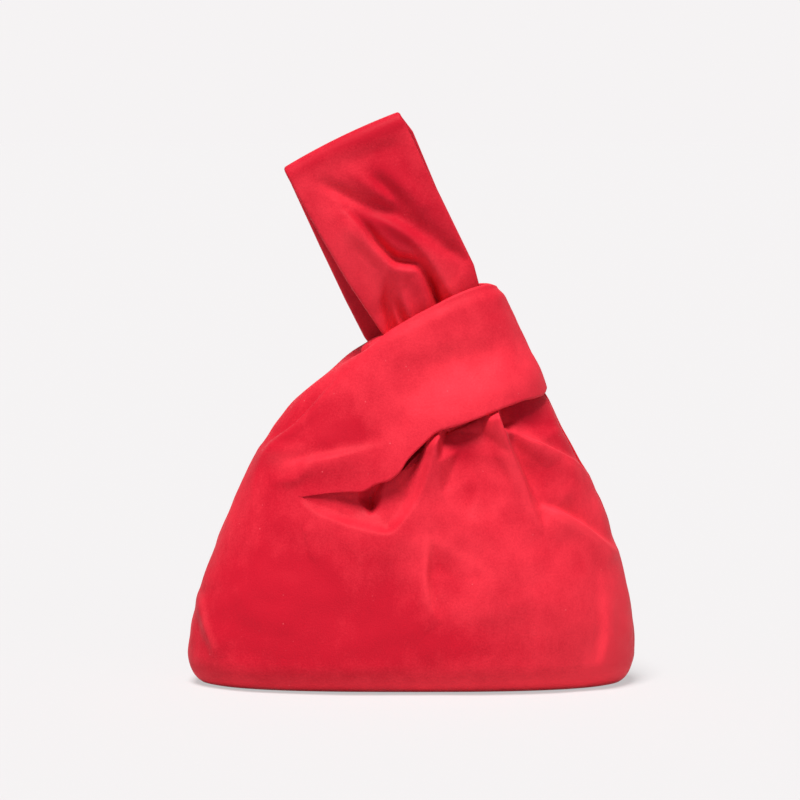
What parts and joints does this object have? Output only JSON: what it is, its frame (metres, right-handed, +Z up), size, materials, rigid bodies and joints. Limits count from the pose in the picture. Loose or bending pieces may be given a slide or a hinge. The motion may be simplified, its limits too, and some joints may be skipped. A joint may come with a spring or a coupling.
{
  "type": "japanese knot bag",
  "caption": "Soft lined velvet knot bag with a round-bottomed body; the long handle is drawn through the short one, closing the top and leaving a loop to carry it by.",
  "frame": {"origin": "on the floor under the middle of the bag's base", "axes": "+Z up, +Y from the front of the bag to its back, +X from the shoulder the short handle grows from to the flank the long handle grows from"},
  "size_m": [0.262, 0.118, 0.3323],
  "materials": {
    "velvet": "matte brushed nap with a soft sheen",
    "lining": "plain weave",
    "interlining": "soft felt",
    "seam": "sewn ridge of the same velvet"
  },
  "bodies": {
    "bag": {"front_panel": "velvet", "back_panel": "velvet", "base_panel": "velvet", "front_interlining": "interlining", "back_interlining": "interlining", "base_interlining": "interlining", "front_lining": "lining", "back_lining": "lining", "base_lining": "lining", "left_side_seam": "seam", "right_side_seam": "seam", "short_handle_front": "velvet", "short_handle_back": "velvet", "short_handle_front_lining": "lining", "short_handle_back_lining": "lining", "short_handle_seam": "seam", "front_gather": "velvet", "back_gather": "velvet", "front_gather_lining": "lining", "back_gather_lining": "lining"},
    "knot_throat": {"throat_front": "velvet", "throat_back": "velvet"},
    "loop_foot": {"loop_root": "velvet"},
    "carry_loop": {"loop_bunch": "velvet", "long_handle_front": "velvet", "long_handle_back": "velvet", "long_handle_front_lining": "lining", "long_handle_back_lining": "lining", "long_handle_seam": "seam"}
  },
  "joints": [
    {"name": "handle_pull", "type": "slide", "parent": "bag", "child": "knot_throat", "axis": [-0.4384, 0, 0.8988], "range_m": [0, 0.02]},
    {"name": "loop_swing", "type": "hinge", "parent": "knot_throat", "child": "loop_foot", "pos_m": [0.00626, 0, 0.22053], "axis": [0, 1, 0], "range_deg": [-20, 20]},
    {"name": "loop_nod", "type": "hinge", "parent": "loop_foot", "child": "carry_loop", "pos_m": [0.00305, 0, 0.22709], "axis": [0.8988, 0, 0.4384], "range_deg": [-40, 40]}
  ]
}
